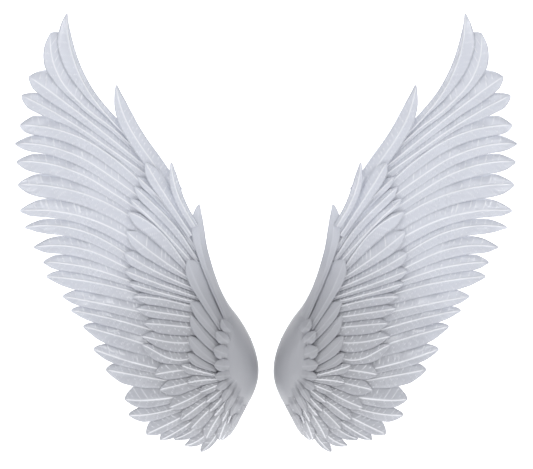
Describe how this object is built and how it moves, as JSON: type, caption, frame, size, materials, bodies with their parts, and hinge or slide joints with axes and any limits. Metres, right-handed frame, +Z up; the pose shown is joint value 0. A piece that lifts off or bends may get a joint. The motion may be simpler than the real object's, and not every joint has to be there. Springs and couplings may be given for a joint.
{
  "type": "feathered fairy wings",
  "caption": "Pair of moulded feathered costume wings with rounded shoulders, each hinged to a clear yoke plate worn with foam pads and shoulder straps.",
  "frame": {"origin": "middle of the face of the yoke plate that lies toward the wearer's back", "axes": "+Y points out of that face toward the wearer, +Z up, X across the wearer; the feathered face looks along -Y"},
  "size_m": [1.1154, 0.2928, 0.9717],
  "materials": {
    "clear_sheet": "clear polished polycarbonate sheet",
    "pad_foam": "closed-cell foam",
    "pad_cloth": "padded woven cover",
    "webbing": "woven nylon webbing",
    "slider_plastic": "moulded acetal",
    "hinge_metal": "brushed stainless",
    "pin_metal": "plated steel",
    "spar_tube": "drawn aluminium tube",
    "board_plastic": "expanded PVC board",
    "former_foam": "rigid foam",
    "shell_satin": "satin moulded plastic",
    "feather_gloss": "glossy moulded plastic",
    "feather_satin": "semi-gloss moulded plastic"
  },
  "bodies": {
    "yoke": {"yoke_plate": "clear_sheet", "back_pads": "pad_foam", "yoke_hinge_left": "hinge_metal", "yoke_hinge_right": "hinge_metal", "hinge_pin_left": "pin_metal", "hinge_pin_right": "pin_metal", "hinge_screws": "pin_metal", "strap_left": "webbing", "strap_right": "webbing", "lower_strap_left": "webbing", "lower_strap_right": "webbing", "shoulder_pad_left": "pad_cloth", "shoulder_pad_right": "pad_cloth", "strap_sliders": "slider_plastic", "strap_clamps": "slider_plastic", "clamp_screws": "pin_metal"},
    "left_wing": {"wing_hinge_left": "hinge_metal", "leaf_rivets_left": "pin_metal", "root_board_left": "board_plastic", "formers_left": "former_foam", "shoulder_shell_left": "shell_satin", "spars_left": "spar_tube", "spar_saddles_left": "board_plastic", "primaries_left": "feather_gloss", "secondaries_left": "feather_gloss", "tertials_left": "feather_gloss", "greater_coverts_left": "feather_satin", "median_coverts_left": "feather_satin", "lesser_coverts_left": "feather_satin", "scapulars_left": "feather_satin", "leading_coverts_left": "feather_satin"},
    "right_wing": {"wing_hinge_right": "hinge_metal", "leaf_rivets_right": "pin_metal", "root_board_right": "board_plastic", "formers_right": "former_foam", "shoulder_shell_right": "shell_satin", "spars_right": "spar_tube", "spar_saddles_right": "board_plastic", "primaries_right": "feather_gloss", "secondaries_right": "feather_gloss", "tertials_right": "feather_gloss", "greater_coverts_right": "feather_satin", "median_coverts_right": "feather_satin", "lesser_coverts_right": "feather_satin", "scapulars_right": "feather_satin", "leading_coverts_right": "feather_satin"}
  },
  "joints": [
    {"name": "left_wing_fold", "type": "hinge", "parent": "yoke", "child": "left_wing", "pos_m": [-0.038, -0.011, 0], "axis": [0, 0, 1], "range_deg": [-8, 26]},
    {"name": "right_wing_fold", "type": "hinge", "parent": "yoke", "child": "right_wing", "pos_m": [0.038, -0.011, 0], "axis": [0, 0, -1], "range_deg": [-8, 26]}
  ]
}
